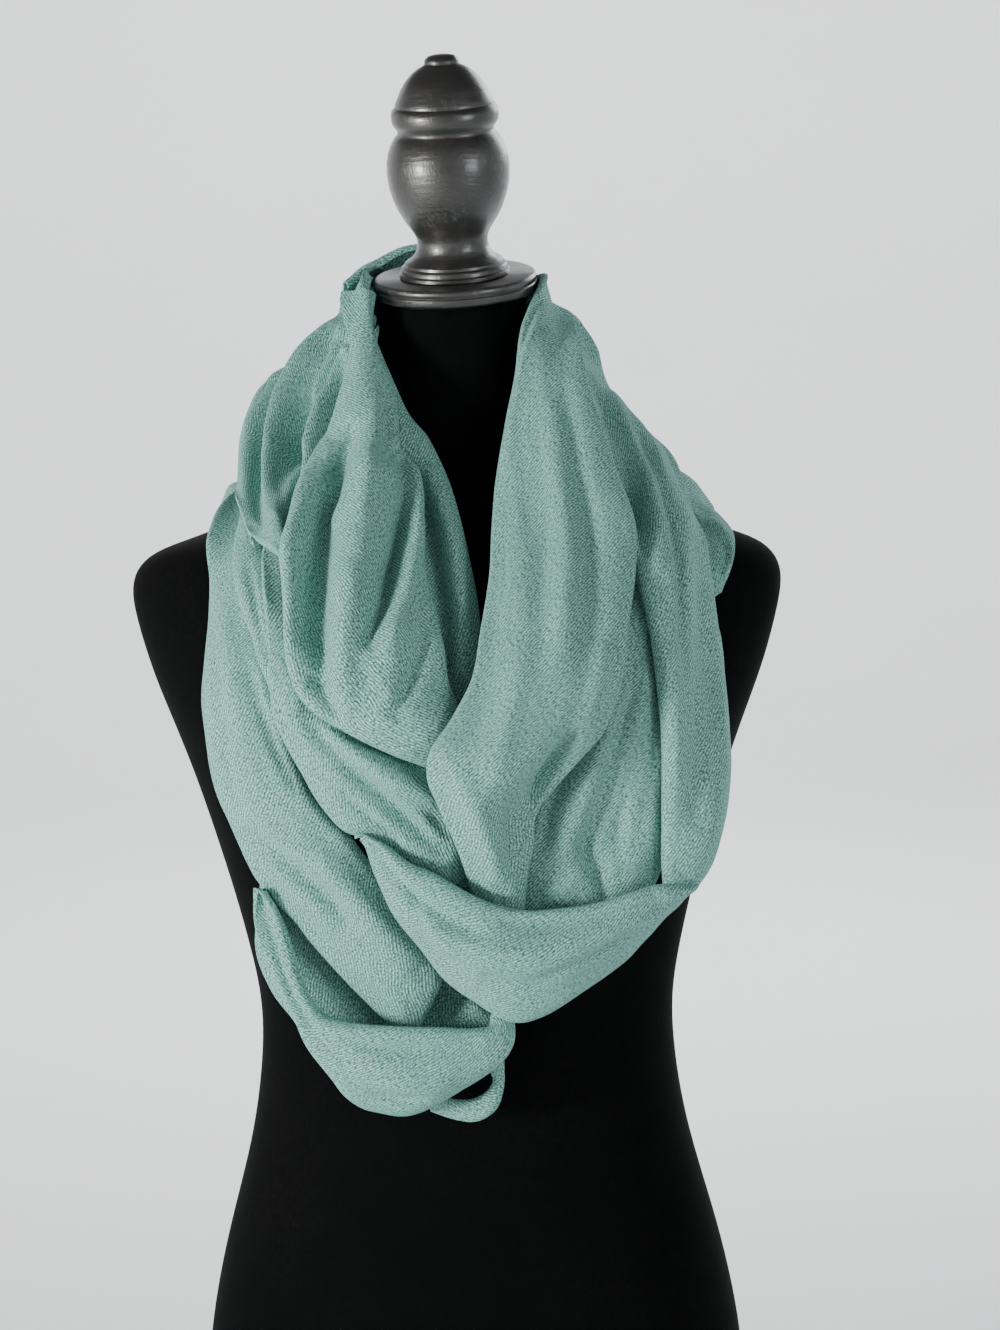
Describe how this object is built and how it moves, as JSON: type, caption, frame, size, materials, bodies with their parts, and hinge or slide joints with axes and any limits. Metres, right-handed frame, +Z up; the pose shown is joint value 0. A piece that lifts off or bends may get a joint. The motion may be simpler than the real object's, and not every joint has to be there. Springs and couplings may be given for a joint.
{
  "type": "infinity scarf on a dress form",
  "caption": "Soft infinity scarf wound twice round the neck of a limbless velvet dress form with a turned wood neck finial, on a pole and round foot.",
  "frame": {"origin": "on the floor, at the middle of the round foot's underside", "axes": "+Z up the form's pole; the form faces -Y, and +X is at the right of a view from the front"},
  "size_m": [0.382, 0.3342, 0.9674],
  "materials": {
    "teal_cloth": "soft matt weave with pale flecks",
    "black_velvet": "deep black short pile",
    "black_wood": "satin black paint over turned wood"
  },
  "bodies": {
    "root": {"inner_fall_left": "teal_cloth", "back_drape": "teal_cloth", "pouch_back": "teal_cloth", "left_outer_band": "teal_cloth", "nape_wrap": "teal_cloth", "left_side_tuck": "teal_cloth", "right_shoulder_flap": "teal_cloth", "left_middle_band": "teal_cloth", "inner_fall_right": "teal_cloth", "right_outer_fall": "teal_cloth", "left_shoulder_pleats": "teal_cloth", "left_cowl": "teal_cloth", "right_front_fall": "teal_cloth", "pouch_twist": "teal_cloth", "bottom_pouch": "teal_cloth", "front_swag": "teal_cloth", "form_torso": "black_velvet", "neck_cap": "black_wood", "neck_finial": "black_wood", "stand_pole": "black_wood", "stand_base": "black_wood"}
  },
  "joints": []
}
